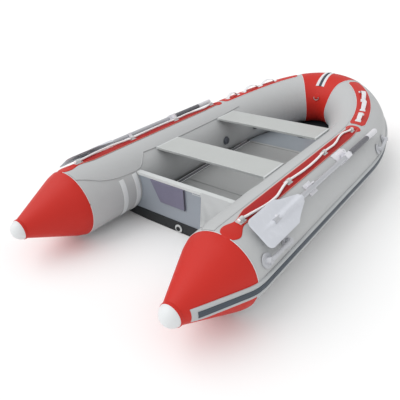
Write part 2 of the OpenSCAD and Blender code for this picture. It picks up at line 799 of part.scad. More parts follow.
// An air valve: a flange on the tube's inner side with a raised neck
valve_angle = 180;
valve_side_y = 1715;
valve_bow_phi = 21;
module valve_body() {
    difference() {
        union() {
            cylinder(d = valve_d, h = 4, $fn = 64);
            cylinder(d = valve_d * 0.6, h = 12, $fn = 48);
        }
        translate([0, 0, 3]) cylinder(d = valve_d * 0.4, h = 12, $fn = 48);
    }
}

module valve_cap() {
    difference() {
        union() {
            translate([0, 0, 4 + fit]) cylinder(d = valve_d * 0.78, h = 12, $fn = 48);
            translate([-valve_d * 0.3, -3, 15]) cube([valve_d * 0.6, 6, 5]);
        }
        translate([0, 0, 3]) cylinder(d = valve_d * 0.6 + 2 * fit, h = 9 + fit, $fn = 48);
    }
}

module side_valve_place() { on_tube(side_station(valve_side_y), valve_angle, seat) children(); }
module bow_valve_place() {
    on_tube(bow_station(180 - valve_bow_phi), valve_angle, seat) children();
}

module valve_bodies() {
    color("dimgray") {
        both_sides() side_valve_place() valve_body();
        bow_valve_place() valve_body();
    }
}

module valve_cap_port() { color("gray") mirror([1, 0, 0]) side_valve_place() valve_cap(); }
module valve_cap_starboard() { color("gray") side_valve_place() valve_cap(); }
module valve_cap_bow() { color("gray") bow_valve_place() valve_cap(); }

module keel_valve() {
    color("dimgray") translate([0, shift + keel_hole_y - 20, keel_top + fit]) {
        cylinder(d = 58, h = 4, $fn = 48);
        cylinder(d = 40, h = 14, $fn = 48);
    }
}

chamber_port();
chamber_starboard();
chamber_bow();
cone_port();
cone_starboard();
cone_caps();
rubbing_strake();
strake_stripe();
hull_bottom();
keel_tube();
floor_board_aft();
floor_board_middle();
floor_board_fore();
floor_board_bow();
floor_joiners();
stringer_port();
stringer_starboard();
transom_board();
transom_cap();
transom_strip();
motor_pads();
transom_holders();
drain_flange();
drain_plug();
seat_flap_port();
seat_flap_starboard();
transom_gusset();
bench_aft();
bench_fore();
bench_ends_aft();
bench_ends_fore();
grip_strip_port();
grip_strip_starboard();
grab_line_port();
grab_line_starboard();
line_eyes();
forward_patches();
grip_loops();
bow_patch();
bow_strap();
bow_ring_base();
bow_ring();
carry_handles_aft();
carry_handles_bow();
rowlock_bases();
rowlock_pins();
collar_port();
collar_starboard();
oar_shaft_port();
oar_shaft_starboard();
oar_blade_port();
oar_blade_starboard();
oar_grip_port();
oar_grip_starboard();
oar_clips();
valve_bodies();
valve_cap_port();
valve_cap_starboard();
valve_cap_bow();
keel_valve();
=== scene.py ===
import math

import bmesh
import bpy
import numpy as np
from mathutils import Matrix, Vector


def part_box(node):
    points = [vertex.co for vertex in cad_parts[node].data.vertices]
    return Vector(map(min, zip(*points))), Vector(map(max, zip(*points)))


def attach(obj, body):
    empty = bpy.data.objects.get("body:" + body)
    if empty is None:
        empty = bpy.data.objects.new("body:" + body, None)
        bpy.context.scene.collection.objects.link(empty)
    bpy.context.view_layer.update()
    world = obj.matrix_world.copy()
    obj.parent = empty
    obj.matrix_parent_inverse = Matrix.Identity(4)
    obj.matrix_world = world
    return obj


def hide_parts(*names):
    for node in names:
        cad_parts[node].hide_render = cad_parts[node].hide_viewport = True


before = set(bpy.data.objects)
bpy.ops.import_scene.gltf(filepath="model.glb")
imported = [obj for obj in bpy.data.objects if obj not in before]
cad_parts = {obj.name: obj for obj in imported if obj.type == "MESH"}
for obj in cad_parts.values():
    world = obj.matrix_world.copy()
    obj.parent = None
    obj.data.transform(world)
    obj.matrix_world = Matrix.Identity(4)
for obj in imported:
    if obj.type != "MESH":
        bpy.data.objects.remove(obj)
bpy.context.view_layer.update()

# --- The camera ---------------------------------------------------------------------------
# It stands off the starboard quarter, a little above head height, and looks down over the
# stern. A slight roll tips the picture.
heading, dip, roll = 0.6869, 0.5167, -0.051
look = np.array([-math.sin(heading) * math.cos(dip), math.cos(heading) * math.cos(dip), -math.sin(dip)])
side = np.cross(look, [0, 0, 1])
side /= np.linalg.norm(side)
over = np.cross(side, look)
right = side * math.cos(roll) + over * math.sin(roll)
top = over * math.cos(roll) - side * math.sin(roll)
lens = bpy.data.cameras.new("quarter_view")
lens.lens, lens.sensor_width, lens.clip_end = 37.63, 36, 50
camera = bpy.data.objects.new("quarter_view", lens)
placed = np.eye(4)
placed[:3, :4] = np.column_stack([right, top, -look, [1.4426, -2.3332, 1.4596]])
camera.matrix_world = Matrix(placed.tolist())
bpy.context.scene.collection.objects.link(camera)
bpy.context.scene.camera = camera

# --- Grab lines --------------------------------------------------------------------------
# A 13 mm braided white cord runs through four moulded eyes on each tube and bows down between
# them. Its ends are stopped by knots behind the first and last eye. It is laid on the tubes'
# centreline: straight along each side, and half an ellipse in plan that climbs to the stem.
tube_r, half_gap, axis_z = 0.210, 0.550, 0.232
seam_y, side_len, bow_run, bow_rise = 0.378, 1.394, 1.038, 0.114
bow_y = seam_y + side_len
shift = -1.51635
cap_len, cone_len, cone_tip_r = 0.060, 0.318, 0.058


def boat_line(t):
    """Centre, outward and upward directions and radius of the tube at t. Below 0, t is metres aft
    of the starboard bow seam; from 0 to pi it is the bow's angle, centre = (a cos t, b sin t,
    rise * sin(t)^2.15); beyond pi it is metres aft of the port seam. Aft of the straight part the
    radius falls in a straight line, as a cone's does, and a parabola 100 mm long eases the corner."""
    t = np.asarray(t, float)
    a = np.clip(t, 0, np.pi)
    back = np.maximum(-t, 0) + np.maximum(t - np.pi, 0)
    c, s = np.cos(a), np.maximum(np.sin(a), 0)
    centre = np.stack([half_gap * c, shift + bow_y + bow_run * s - back, axis_z + bow_rise * s ** 2.15], -1)
    outward = np.stack([bow_run * c, half_gap * s, 0 * s], -1)
    outward /= np.linalg.norm(outward, axis=-1, keepdims=True)
    ahead = np.stack([-half_gap * s, bow_run * c, bow_rise * 2.15 * s ** 1.15 * c], -1)
    ahead /= np.linalg.norm(ahead, axis=-1, keepdims=True)
    upward = np.cross(outward, ahead)
    past, ease = back - side_len, 0.05
    fall = np.where(np.abs(past) < ease, (past + ease) ** 2 / (4 * ease), np.clip(past, 0, cone_len))
    radius = tube_r - (tube_r - cone_tip_r) * fall / cone_len
    return centre, outward, upward, radius


def at_y(y):
    """The value of t for a point y metres forward of the cone tips on the starboard side: behind
    the bow seam it is y - seam, and ahead of it the angle whose sine is the share of the run."""
    y = np.asarray(y, float)
    return np.where(y <= bow_y, y - bow_y, np.arcsin(np.clip((y - bow_y) / bow_run, 0, 1)))


def lay(t, theta, lift):
    """Points (n, m, 3) at angle theta (degrees, 0 outboard, 90 on top) and height lift off the tube
    at each t: centre + (radius + lift) * (cos(theta) outward + sin(theta) upward)."""
    centre, outward, upward, radius = boat_line(t)
    theta = np.radians(np.broadcast_to(theta, (len(centre),) + np.shape(theta)[-1:]))
    reach = radius[:, None, None] + np.broadcast_to(lift, theta.shape)[..., None]
    return centre[:, None] + reach * (np.cos(theta)[..., None] * outward[:, None]
                                      + np.sin(theta)[..., None] * upward[:, None])


def to_port(rings):
    """The same rings on the port side: x changes sign."""
    return rings * np.array([-1, 1, 1])


def shell(name, rings, port=False, sharp=40):
    """A closed skin through rings of points (n, m, 3), with x turned round for the port side. The
    first point of each ring is repeated at its end, and each end is drawn together to its middle.
    The UV map holds metres along the piece and metres round it."""
    if port:
        rings = to_port(rings)
    rings = np.concatenate([rings, rings[:, :1]], 1)
    middle = rings[[0, -1], :-1].mean(1)[:, None].repeat(rings.shape[1], 1)
    rings = np.concatenate([middle[:1], rings, middle[1:]])
    n, m = rings.shape[:2]
    along = np.linalg.norm(np.diff(rings[:, :-1].mean(1), axis=0), axis=1)
    round_it = np.linalg.norm(np.diff(rings[n // 2], axis=0), axis=1)
    uv = np.stack(np.meshgrid(np.r_[0, np.cumsum(along)], np.r_[0, np.cumsum(round_it)], indexing="ij"), -1)
    spot = np.arange(n * m).reshape(n, m)
    quads = np.stack([spot[:-1, :-1], spot[1:, :-1], spot[1:, 1:], spot[:-1, 1:]], -1).reshape(-1, 4)
    mesh = bpy.data.meshes.new(name)
    mesh.from_pydata(rings.reshape(-1, 3).tolist(), [], quads.tolist())
    layer = mesh.uv_layers.new(name="metres")
    layer.data.foreach_set("uv", uv.reshape(-1, 2)[quads.ravel()].astype(np.float32).ravel())
    tidy = bmesh.new()
    tidy.from_mesh(mesh)
    bmesh.ops.remove_doubles(tidy, verts=tidy.verts, dist=2e-6)
    bmesh.ops.dissolve_degenerate(tidy, edges=tidy.edges, dist=1e-7)
    bmesh.ops.recalc_face_normals(tidy, faces=tidy.faces)
    tidy.to_mesh(mesh)
    tidy.free()
    mesh.shade_smooth()
    mesh.set_sharp_from_angle(angle=math.radians(sharp))
    piece = bpy.data.objects.new(name, mesh)
    bpy.context.scene.collection.objects.link(piece)
    return piece


def tube_of(name, path, radius, sides=10, port=False):
    """A round cord or bar along path (n, 3): each ring is centre + radius * (cos a * across + sin a *
    over), where across is level and square to the path."""
    path = np.asarray(path, float)
    ahead = np.gradient(path, axis=0)
    ahead /= np.linalg.norm(ahead, axis=1, keepdims=True)
    level = np.where(np.abs(ahead[:, 2:]) > 0.95, [[1.0, 0, 0]], [[0, 0, 1.0]])
    across = np.cross(ahead, level)
    across /= np.linalg.norm(across, axis=1, keepdims=True)
    over = np.cross(across, ahead)
    a = np.arange(sides) * 2 * np.pi / sides
    radius = np.broadcast_to(radius, len(path))[:, None, None]
    turn = np.cos(a)[None, :, None] * across[:, None] + np.sin(a)[None, :, None] * over[:, None]
    rings = path[:, None] + radius * turn
    return shell(name, rings, port, sharp=60)


def smooth_route(points, count):
    """A smooth line through the points: each stretch is the cubic whose slopes at its ends are half
    the distance between their neighbours (Catmull and Rom's)."""
    p = np.asarray(points, float)
    p = np.concatenate([2 * p[:1] - p[1:2], p, 2 * p[-1:] - p[-2:-1]])
    u = np.linspace(0, len(p) - 3 - 1e-9, count)
    i, f = u.astype(int), (u % 1)[:, None]
    a, b, c, d = p[i], p[i + 1], p[i + 2], p[i + 3]
    square, cube = 2 * a - 5 * b + 4 * c - d, 3 * b - a - 3 * c + d
    return 0.5 * (2 * b + (c - a) * f + square * f ** 2 + cube * f ** 3)


class Wire:
    """One value in a material. Sums, products and powers of wires add Math nodes to its tree."""

    def __init__(self, tree, socket):
        self.tree, self.socket = tree, socket

    def node(self, kind, settings=(), sockets=(), out=0):
        """A node of this kind: its settings first, then its sockets' values."""
        made = self.tree.nodes.new(kind)
        for key, value in dict(settings).items():
            setattr(made, key, value)
        for key, value in dict(sockets).items():
            if isinstance(value, Wire):
                self.tree.links.new(value.socket, made.inputs[key])
            else:
                made.inputs[key].default_value = value
        return Wire(self.tree, made.outputs[out])

    def math(self, operation, a, b=0.0, c=0.0):
        return self.node("ShaderNodeMath", {"operation": operation}, {0: a, 1: b, 2: c})

    def __add__(self, other):
        return self.math("ADD", self, other)

    def __sub__(self, other):
        return self.math("SUBTRACT", self, other)

    def __rsub__(self, other):
        return self.math("SUBTRACT", other, self)

    def __mul__(self, other):
        return self.math("MULTIPLY", self, other)

    def __pow__(self, other):
        return self.math("POWER", self, other)

    def wave(self, pitch):
        """0 to 1 and back over each pitch: (1 + sin(2 pi x / pitch)) / 2."""
        return self.math("SINE", self * (2 * math.pi / pitch)) * 0.5 + 0.5

    def step(self, start, end):
        """0 below start, 1 above end, smooth between."""
        return self.node("ShaderNodeMapRange", {"interpolation_type": "SMOOTHSTEP"},
                         {"Value": self, "From Min": start, "From Max": end})

    def noise(self, size, detail=3.0, stretch=(1, 1, 1)):
        """Cloudy noise from 0 to 1 whose patches are about size metres across."""
        place = self.node("ShaderNodeMapping", {}, {"Vector": self, "Scale": stretch})
        return self.node("ShaderNodeTexNoise", {}, {"Vector": place, "Scale": 1 / size, "Detail": detail})

    def apart(self):
        """The three parts of a vector."""
        first = self.node("ShaderNodeSeparateXYZ", {}, {0: self})
        return [Wire(self.tree, part) for part in first.socket.node.outputs]


def mix(share, a, b):
    """Colour a where share is 0 and colour b where it is 1."""
    return share.node("ShaderNodeMix", {"data_type": "RGBA"}, {0: share, 6: a, 7: b}, 2)


def shade(colour, by):
    """A colour by a factor, with alpha 1."""
    return (*[min(1.0, c * by) for c in colour[:3]], 1.0)


def finish_of(name, mapped="Object"):
    """A new material: its shader and a wire with the place on the piece."""
    made = bpy.data.materials.new(name)
    made.use_nodes = True
    shader = made.node_tree.nodes["Principled BSDF"]
    place = made.node_tree.nodes.new("ShaderNodeTexCoord")
    return made, shader, Wire(made.node_tree, place.outputs[mapped])


def set_finish(shader, colour, roughness, height=None, depth=0.001, coat=0.0, metallic=0.0):
    """Links or sets the shader's sockets; a height in metres feeds a Bump node."""
    tree = shader.id_data
    for key, value in (("Base Color", colour), ("Roughness", roughness)):
        if isinstance(value, Wire):
            tree.links.new(value.socket, shader.inputs[key])
        else:
            shader.inputs[key].default_value = value
    shader.inputs["Metallic"].default_value = metallic
    shader.inputs["Coat Weight"].default_value = coat
    if height is not None:
        bump = height.node("ShaderNodeBump", {}, {"Height": height, "Distance": depth, "Strength": 1.0})
        tree.links.new(bump.socket, shader.inputs["Normal"])


def wear(piece, finish):
    """Gives a new piece this one finish."""
    piece.data.materials.clear()
    piece.data.materials.append(finish)


cord_white = (0.97, 0.95, 0.96)
cord_finish, shader, place = finish_of("braided_cord", "UV")
along, round_it, _ = place.apart()
braid = (along + round_it * 1.6).wave(0.012) * (along - round_it * 1.6).wave(0.012)
set_finish(shader, mix(braid, shade(cord_white, 0.86), shade(cord_white, 1.03)), 0.75, braid, 0.0008)

# Metres forward of the cone tips, and degrees round the tube.
line_places = np.array([
    [0.500, 82], [0.525, 82], [0.560, 80.5], [0.600, 79], [0.650, 77], [0.700, 75.5], [0.750, 75],
    [0.800, 75.5], [0.850, 78], [0.900, 80.5], [0.940, 82], [0.965, 82], [0.990, 82], [1.040, 81],
    [1.100, 80], [1.160, 79.5], [1.220, 79.5], [1.280, 80], [1.340, 81], [1.385, 82], [1.411, 82],
    [1.440, 82], [1.490, 81.5], [1.540, 81], [1.600, 82.5], [1.650, 85], [1.700, 87], [1.750, 87.5],
    [1.790, 85.5], [1.825, 83], [1.848, 82], [1.865, 82]])
line_rise, line_r = 0.015, 0.0065
route = lay(at_y(line_places[:, 0]), line_places[:, 1:], line_rise)[:, 0]
route = smooth_route(route, 190)
for which in ("starboard", "port"):
    port = which == "port"
    run = to_port(route) if port else route
    line = tube_of("grab_line_" + which + "_rope", route, line_r, 10, port)
    wear(line, cord_finish)
    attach(line, "boat")
    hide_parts("grab_line_" + which)
    for end, tag in ((0, "aft"), (-1, "fore")):
        # A knot is two turns of a helix, 0.0052 * (cos(a), 0.9 (a / 2 pi - 1), sin(a)).
        a = np.linspace(0, 4 * np.pi, 60)
        helix = 0.0052 * np.stack([np.cos(a), 0.9 * (a / (2 * np.pi) - 1), np.sin(a)], -1)
        knot = tube_of("line_knot_%s_%s" % (which, tag), helix + run[end], 0.0045, 8)
        wear(knot, cord_finish)
        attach(knot, "boat")

# --- Air tubes ---------------------------------------------------------------------------
# PVC-coated polyester, cut in panels and glued with an inner tape, holds the air at a firm
# pressure. The satin coat shows the weave faintly, with soft puckers next to the seams.
tube_grey = (0.475, 0.485, 0.49)


def coated_fabric(name, colour, pucker=0.0009):
    """Base colour drifts with slow noise; the height is a fine weave, crossed waves a millimetre and
    a half apart, plus soft puckers a few centimetres across."""
    made, shader, place = finish_of(name)
    x, y, z = place.apart()
    slow = place.noise(0.35, 2)
    soft = place.noise(0.045, 2)
    weave = (x + y).wave(0.0021) * (y - x + z).wave(0.0021)
    grime = place.noise(0.02, 6)
    set_finish(shader, mix(slow * 0.7 + grime * 0.3, shade(colour, 0.93), shade(colour, 1.06)),
               slow * 0.10 + grime * 0.08 + 0.41, weave * 0.08 + soft, pucker)
    shader.inputs["Specular IOR Level"].default_value = 0.28
    return made


grey_fabric = coated_fabric("tube_fabric", tube_grey)
a_round = np.arange(96) * 360 / 96
for which in ("starboard", "port"):
    y = np.linspace(seam_y, bow_y, 61)
    near_seam = np.exp(-((y - seam_y) / 0.03)) + np.exp(-((bow_y - y) / 0.03))
    dent = 0.0006 * np.sin(np.radians(a_round * 24)) * near_seam[:, None]
    rings = lay(y - bow_y, a_round, dent - 0.0003)
    tube = shell("tube_" + which, rings, which == "port")
    wear(tube, grey_fabric)
    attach(tube, "boat")
    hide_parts("chamber_" + which)
t = np.linspace(0, np.pi, 181)
# On the inner side of the bend the fabric has length to spare and gathers in short waves.
gather = np.clip(-np.cos(np.radians(a_round)), 0, 1) ** 3
bend = np.sin(t) ** 4
dent = 0.0011 * gather * (bend * np.sin(t * 95))[:, None]
bow = shell("tube_bow", lay(t, a_round, dent - 0.0003))
wear(bow, grey_fabric)
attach(bow, "boat")
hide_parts("chamber_bow")
tape_reach = np.array([-0.016, -0.014, 0.014, 0.016])
tape_lift = np.array([[0.0], [0.0005], [0.0005], [0.0]])
for number, (at, way) in enumerate(((0.0, 1), (np.pi, -1))):
    tape = shell("seam_tape_%d" % (number + 1), lay(at + way * tape_reach, a_round, tape_lift))
    wear(tape, grey_fabric)
    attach(tape, "boat")

# --- Stern cones and caps ------------------------------------------------------------------
# Red fabric cones are glued over the tubes' ends with a short lap and a pale edging, and each is
# closed with a moulded pale cap whose shoulder the red fabric covers.
def lay_each(t, theta, lift):
    """Points like lay's, where each has its own t, angle (degrees) and height: centre + (radius +
    lift) * (cos(theta) outward + sin(theta) upward)."""
    centre, outward, upward, radius = boat_line(t)
    theta = np.radians(theta)[..., None]
    reach = (radius + lift)[..., None]
    return centre + reach * (np.cos(theta) * outward + np.sin(theta) * upward)


red = (0.53, 0.020, 0.012)
red_fabric = coated_fabric("red_fabric", red, 0.0007)
pale = (0.70, 0.72, 0.73)
cap_finish, shader, place = finish_of("moulded_cap")
set_finish(shader, mix(place.noise(0.08), shade(pale, 0.92), shade(pale, 1.05)),
           place.noise(0.01) * 0.2 + 0.35, place.noise(0.0012, 2), 0.0002)
for which in ("starboard", "port"):
    y = np.r_[cap_len, cap_len + np.linspace(0.004, cone_len - 0.006, 40),
              seam_y + np.array([-0.003, 0, 0.0005])]
    folds = 0.0009 * np.sin(np.radians(a_round * 16)) * np.exp(-((seam_y - y) / 0.035))[:, None]
    rings = lay(y - bow_y, a_round, folds)
    cone = shell("cone_" + which + "_skin", rings, which == "port")
    wear(cone, red_fabric)
    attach(cone, "boat")
    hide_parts("cone_" + which)
    lap_y = seam_y + np.array([-0.0005, 0.0, 0.001, 0.007, 0.0085])
    rings = lay(lap_y - bow_y, a_round, np.array([[0.0], [0.0005], [0.0006], [0.0006], [0.0]]))
    lap = shell("cone_lap_" + which, rings, which == "port")
    wear(lap, red_fabric)
    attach(lap, "boat")
    path = lay_each(np.full(97, seam_y + 0.0095 - bow_y), np.linspace(0, 360, 97), 0.0008)
    edging = tube_of("cone_edging_" + which, path, 0.0015, 6, which == "port")
    wear(edging, cap_finish)
    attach(edging, "boat")
rise = np.linspace(0, np.pi / 2, 20)
profile_r = cone_tip_r * np.cos(rise)
profile_y = cap_len * (1 - np.sin(rise))
profile_r = np.r_[cone_tip_r + 0.0002, cone_tip_r + 0.0012, cone_tip_r + 0.0012, profile_r[1:-1]]
profile_y = np.r_[cap_len, cap_len - 0.001, cap_len - 0.006, profile_y[1:-1]]
a = np.radians(np.arange(64) * 360 / 64)


def turned(y, r):
    """Rings (n, 64, 3) turned round a side tube's axis from a profile of radius r at distance y."""
    level = np.broadcast_to(shift + y[:, None], (len(y), len(a)))
    return np.stack([half_gap + r[:, None] * np.cos(a), level, axis_z + r[:, None] * np.sin(a)], -1)


for which in ("starboard", "port"):
    cap = shell("cone_cap_" + which, turned(profile_y, profile_r), which == "port")
    wear(cap, cap_finish)
    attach(cap, "boat")
    if which == "port":
        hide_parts("cone_caps")
    # The red fabric laps 14 mm over the cap's shoulder.
    toe_y = np.array([0.0462, 0.0466, 0.050, 0.055, cap_len + 0.001])
    toe_lift = np.array([0.0012, 0.0021, 0.0021, 0.0020, 0.0014])
    toe_r = cone_tip_r * np.sqrt(1 - np.clip((cap_len - toe_y) / cap_len, 0, 1) ** 2) + toe_lift
    toe = shell("cone_toe_" + which, turned(toe_y, toe_r), which == "port")
    wear(toe, red_fabric)
    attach(toe, "boat")

# --- Rubbing strake --------------------------------------------------------------------------
# A thick moulded strake is glued round the outside from cone to cone. It has a bead along each
# edge and a dark ribbed stripe set in its middle.
strake_w, stripe_w = 0.068, 0.030
strake_light = (0.45, 0.47, 0.48)
stripe_dark = (0.045, 0.060, 0.080)
strake_finish, shader, place = finish_of("strake_light", "UV")
set_finish(shader, mix(place.noise(0.12), shade(strake_light, 0.9), shade(strake_light, 1.06)),
           place.noise(0.03) * 0.2 + 0.34, place.noise(0.002, 2), 0.0003)
stripe_finish, shader, place = finish_of("strake_stripe", "UV")
along, round_it, _ = place.apart()
set_finish(shader, mix(place.noise(0.09), shade(stripe_dark, 0.85), shade(stripe_dark, 1.2)),
           place.noise(0.02) * 0.2 + 0.42, round_it.wave(0.005), 0.0007)
strake_from = seam_y - cap_len - 0.032
aft_run = np.r_[side_len + np.linspace(strake_from, 0.008, 14), np.linspace(side_len, 0.02, 30)]
t = np.r_[-aft_run, np.linspace(0, np.pi, 150), np.pi + aft_run[::-1]]
# Half the section from its edge in: share of the half width, and height in millimetres.
half_v = np.array([1, 1, 0.97, 0.9, 0.8, 0.7, 0.62, 0.56, 0.5, 0.46, 0.46, 0.2])
half_h = np.array([0, 3, 6, 9, 11.2, 12, 11.2, 9.5, 9.2, 9, 8.6, 8.6])
v = np.r_[-half_v, 0, half_v[::-1]]
h = np.r_[half_h, 8.6, half_h[::-1]] / 1000
radius = boat_line(t)[3]
half = np.degrees(strake_w / 2 / radius)[:, None]
grow = np.ones(len(t))
grow[:3] = grow[-3:][::-1] = [0.35, 0.75, 0.95]
under = np.linspace(0.9, -0.9, 5)
rings = np.concatenate([lay(t, half * v, 0.0004 + h * grow[:, None]), lay(t, half * under, 0.0002)], 1)
strake = shell("rubbing_strake_body", rings, sharp=50)
wear(strake, strake_finish)
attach(strake, "boat")
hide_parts("rubbing_strake")
v = np.array([-1, -0.98, -0.9, -0.7, -0.55, -0.35, -0.2, 0, 0.2, 0.35, 0.55, 0.7, 0.9, 0.98, 1])
h = np.array([0, 2.0, 2.9, 2.9, 2.1, 2.1, 2.9, 2.9, 2.9, 2.1, 2.1, 2.9, 2.9, 2.0, 0]) / 1000
half = np.degrees(stripe_w / 2 / radius)[:, None]
rings = np.concatenate([lay(t, half * v, 0.0088 + h * grow[:, None]), lay(t, half * under, 0.0082)], 1)
stripe = shell("strake_stripe_insert", rings[1:-1], sharp=50)
wear(stripe, stripe_finish)
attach(stripe, "boat")
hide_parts("strake_stripe")

# --- Seat flaps --------------------------------------------------------------------------
# A doubled flap of grey fabric is glued along each tube's top and hangs inboard. It is wide
# over the transom and narrow along the benches, and its free edge is hemmed over a cord.
def band(name, t, low, high, lift, thick, edge=0.004, rows=13, port=False, crown=0.0):
    """A flat strip lying on the tube from angle low to angle high at each t. Its height is thick
    times the 2.5-power round-off of its distance from the edge, over the edge's width, plus a
    crown; its underside is at lift."""
    t = np.asarray(t, float)
    low, high = np.broadcast_to(low, t.shape), np.broadcast_to(high, t.shape)
    v = np.sin(np.linspace(-1, 1, rows) * np.pi / 2)
    radius = boat_line(t)[3]
    mid, half = (low + high) / 2, (high - low) / 2 * tube_r / radius
    theta = mid[:, None] + half[:, None] * v
    width = np.radians((high - low) / 2)[:, None] * tube_r
    inset = np.clip((1 - np.abs(v)) * width / edge, 0, 1)
    height = thick * (1 - (1 - inset) ** 2.5) + crown * (1 - v ** 2)
    rings = np.concatenate([lay(t, theta, lift + height), lay(t, theta[:, ::-1], lift)], 1)
    return shell(name, rings, port)


# Millimetres forward of the cone's seam, and the free edge's angle in degrees.
flap_low = np.array([[14, 118], [134, 137], [200, 143], [264, 146.5], [394, 149], [450, 146], [530, 125],
                     [630, 127], [870, 128], [1320, 128]])
y = np.r_[np.arange(0.392, 1.0, 0.012), np.arange(1.0, bow_y + 0.001, 0.05),
          bow_y + bow_run * np.sin(np.radians(np.arange(1, 15.1, 1)))]
low = np.interp((y - seam_y) * 1000, flap_low[:, 0], flap_low[:, 1])
low = np.where(y > bow_y, 128 - np.degrees(at_y(np.maximum(y, bow_y))) / 4, low)
for which in ("starboard", "port"):
    flap = band("seat_flap_" + which + "_skin", at_y(y), 98, low, 0.0006, 0.0022, 0.003, 25, which == "port")
    wear(flap, grey_fabric)
    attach(flap, "boat")
    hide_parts("seat_flap_" + which)
    path = lay(at_y(y), low[:, None] - 0.5, 0.0028)[:, 0]
    hem = tube_of("flap_hem_" + which, path, 0.0030, 8, which == "port")
    wear(hem, grey_fabric)
    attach(hem, "boat")

# --- Red strips, patches and bow patch -----------------------------------------------------
# Red PVC is glued on the tubes under the grab lines, the webbing loops and the towing gear.
# The long strips are a darker ribbed extrusion between a round-ended patch at each end.
dark_red = (0.36, 0.008, 0.007)
strip_finish, shader, place = finish_of("ribbed_strip", "UV")
along, round_it, _ = place.apart()
set_finish(shader, mix(place.noise(0.15), shade(dark_red, 0.85), shade(dark_red, 1.25)),
           place.noise(0.03) * 0.15 + 0.45, round_it.wave(0.0065), 0.0008)
shader.inputs["Specular IOR Level"].default_value = 0.25
edging_finish, shader, place = finish_of("strip_edging")
set_finish(shader, mix(place.noise(0.05), (0.62, 0.16, 0.12, 1), (0.75, 0.25, 0.2, 1)), 0.4,
           place.noise(0.003), 0.0002)
# The pale piping's own colour; on the transom web's fold the same finish is painted highlight.
piping_and_fold_highlight, shader, place = finish_of("piping")
set_finish(shader, mix(place.noise(0.05), shade(pale, 0.9), shade(pale, 1.05)), 0.4,
           place.noise(0.003), 0.0002)
end_y = np.linspace(-1, 1, 22)
for which in ("starboard", "port"):
    port = which == "port"
    y = np.r_[np.linspace(0.512, 0.6, 12), np.linspace(0.62, 1.80, 50), np.linspace(1.82, 1.905, 10)]
    half = np.interp(y, [0.512, 0.54, 0.60, 1.74, 1.82, 1.905], [4.6, 6.8, 10.4, 10.4, 9.6, 7.6])
    mid = np.interp(y, [0.512, 0.56], [82.2, 83])
    strip = band("grip_strip_" + which + "_ribbed", at_y(y), mid - half, mid + half, 0.0028, 0.0022, 0.004,
                 15, port, 0.0012)
    wear(strip, strip_finish)
    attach(strip, "boat")
    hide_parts("grip_strip_" + which)
    for edge, tag in ((-1, "outer"), (1, "inner")):
        path = lay(at_y(y), (mid + edge * (half + 0.1))[:, None], 0.0030)[:, 0]
        rim = tube_of("grip_strip_edging_%s_%s" % (tag, which), path, 0.0021, 6, port)
        wear(rim, edging_finish)
        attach(rim, "boat")
    c = np.sqrt(np.maximum(0, 1 - end_y ** 2))
    y = np.r_[0.430 + 0.050 * end_y[:15], np.linspace(0.448, 0.545, 12)]
    neck = np.interp(y[15:], [0.448, 0.465, 0.485, 0.505, 0.525, 0.545], [12.7, 10.6, 7.9, 6.6, 7.0, 7.6])
    half = np.r_[np.degrees(0.050 * c[:15] / tube_r), neck]
    mid = np.interp(y, [0.43, 0.54], [79.8, 82.6])
    blob = band("strip_patch_aft_" + which, at_y(y), mid - half, mid + half, 0.0004, 0.0022, 0.004, 15, port)
    y = np.r_[np.linspace(1.845, 1.895, 8), 1.911 + 0.050 * end_y[8:]]
    half = np.r_[np.linspace(7.0, 12.4, 8), np.degrees(0.050 * c[8:] / tube_r)]
    front = band("strip_patch_fore_" + which, at_y(y), 83 - half, 83 + half, 0.0004, 0.0022, 0.004, 15, port)
    t = np.radians(np.r_[12.4, 12.6, 13.0, np.linspace(13.8, 64, 52), 65.2, 66.0, 66.3])
    grown = np.clip(np.minimum(np.degrees(t) - 12.4, 66.3 - np.degrees(t)) / 1.8, 0, 1)
    half = 14 * (0.72 + 0.28 * grown ** 0.5)
    fore = band("forward_patch_" + which, t, 83 - half, 83 + half, 0.0004, 0.0022, 0.004, 19, port)
    for piece in (blob, front, fore):
        wear(piece, red_fabric)
        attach(piece, "boat")
    if port:
        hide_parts("forward_patches")
    for edge, tag in ((-1, "outer"), (1, "inner")):
        path = lay(t, (83 + edge * (half + 0.4))[:, None], 0.0012)[:, 0]
        rim = tube_of("forward_patch_piping_%s_%s" % (tag, which), path, 0.0016, 6, port)
        wear(rim, piping_and_fold_highlight)
        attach(rim, "boat")
# The bow patch is narrower on the tube's inner side: its edges' angles round the bow shift there.
a = np.linspace(11, 349, 100)
inner = np.clip((a - 110) / 60, 0, 1) * np.clip((300 - a) / 60, 0, 1)
inner = inner * inner * (3 - 2 * inner)
share = np.linspace(0, 1, 60)[:, None]
low_edge, high_edge = np.radians(69.6 - 7.5 * inner), np.radians(110.4 + 1.0 * inner)
t = low_edge + (high_edge - low_edge) * share
rings = np.concatenate([lay_each(t, a, 0.0026), lay_each(t, a, 0.0003)[:, ::-1]], 1)
bow_skin = shell("bow_patch_skin", rings)
wear(bow_skin, red_fabric)
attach(bow_skin, "boat")
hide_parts("bow_patch")
for number, edge_t in enumerate((low_edge, high_edge)):
    rim = tube_of("bow_patch_piping_%d" % (number + 1), lay_each(edge_t, a, 0.0014), 0.0018, 6)
    wear(rim, piping_and_fold_highlight)
    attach(rim, "boat")

# --- Webbing loops and bow strap -------------------------------------------------------------
# Woven polyester webbing is stitched down at both ends of each grip loop. The bow strap is the
# same webbing in three strips side by side, the middle one dark.
web_white = (0.80, 0.81, 0.83)


def webbing(name, colour):
    """Ribs 2.8 mm apart across the webbing, with a fine warp along it."""
    made, shader, place = finish_of(name, "UV")
    along, round_it, _ = place.apart()
    ribs = along.wave(0.0028) * 0.6 + round_it.wave(0.0018) * 0.4
    set_finish(shader, mix(ribs, shade(colour, 0.82), shade(colour, 1.05)), 0.7, ribs, 0.0006)
    return made


